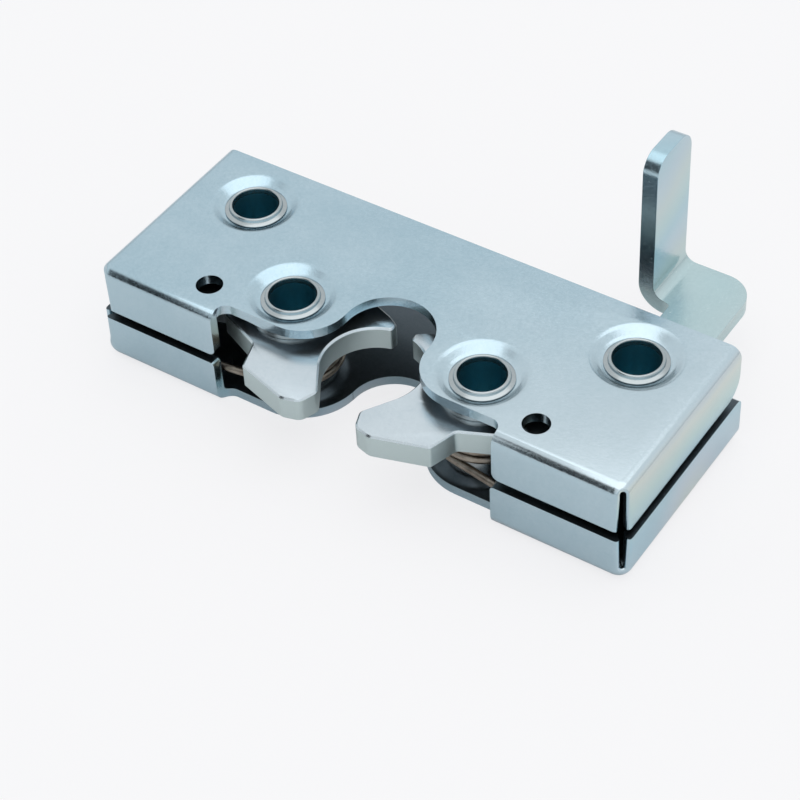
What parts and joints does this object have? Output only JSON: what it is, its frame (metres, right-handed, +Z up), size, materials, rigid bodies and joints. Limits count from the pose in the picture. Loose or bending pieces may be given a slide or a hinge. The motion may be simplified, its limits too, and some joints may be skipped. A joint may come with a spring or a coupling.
{
  "type": "double-claw rotary latch",
  "caption": "Pressed-steel rotary latch whose paired claws close round a striker bolt and open by a trip lever.",
  "frame": {"origin": "on the lower mounting face, midway between the axes of the two rear bolt holes", "axes": "+Z up along the bolts, towards the lever's tab; +X along the housing towards the lever's side; the mouth for the striker faces -Y"},
  "size_m": [0.1092, 0.0714, 0.042],
  "materials": {
    "housing_steel": "blue-white passivated zinc on pressed sheet",
    "claw_steel": "blue-white passivated zinc on sheared plate",
    "lever_steel": "blue-white passivated zinc on bent strip",
    "bushing_steel": "turned and zinc plated",
    "spring_wire": "drawn spring wire, oiled"
  },
  "bodies": {
    "housing": {"upper_housing": "housing_steel", "lower_housing": "housing_steel", "front_bushing_right": "bushing_steel", "front_bushing_left": "bushing_steel", "rear_bushing_right": "bushing_steel", "rear_bushing_left": "bushing_steel", "claw_washer_right": "bushing_steel", "claw_washer_left": "bushing_steel", "pawl_washer_right": "bushing_steel", "pawl_washer_left": "bushing_steel", "claw_spring_right": "spring_wire", "claw_spring_left": "spring_wire", "pawl_spring_right": "spring_wire", "pawl_spring_left": "spring_wire"},
    "lever": {"trip_lever": "lever_steel", "pawl_right": "claw_steel", "lever_rivet_strut": "bushing_steel", "lever_rivet_arm": "bushing_steel"},
    "left_pawl": {"pawl_left": "claw_steel"},
    "right_claw": {"claw_right": "claw_steel"},
    "left_claw": {"claw_left": "claw_steel"}
  },
  "joints": [
    {"name": "trip", "type": "hinge", "parent": "housing", "child": "lever", "pos_m": [0.03975, 0, 0], "axis": [0, 0, 1], "range_deg": [0, 14], "stiffness_Nm_per_rad": 0.3, "springref_deg": -20.05, "deforming": ["pawl_spring_right", "pawl_spring_left", "claw_spring_right", "claw_spring_left"]},
    {"name": "left_pawl_turn", "type": "hinge", "parent": "housing", "child": "left_pawl", "pos_m": [-0.03975, 0, 0], "axis": [0, 0, 1], "range_deg": [-14.2, 0.2], "deforming": ["pawl_spring_left"]},
    {"name": "right_claw_turn", "type": "hinge", "parent": "housing", "child": "right_claw", "pos_m": [0.01955, -0.0168, 0], "axis": [0, 0, 1], "range_deg": [-0.2, 16.2], "deforming": ["claw_spring_right"]},
    {"name": "left_claw_turn", "type": "hinge", "parent": "housing", "child": "left_claw", "pos_m": [-0.01955, -0.0168, 0], "axis": [0, 0, 1], "range_deg": [-16.2, 0.2], "deforming": ["claw_spring_left"]}
  ],
  "couplings": [
    {"joint": "left_pawl_turn", "follows": "trip", "ratio": -1},
    {"joint": "right_claw_turn", "follows": "trip", "ratio": 1.1429},
    {"joint": "left_claw_turn", "follows": "trip", "ratio": -1.1429}
  ]
}
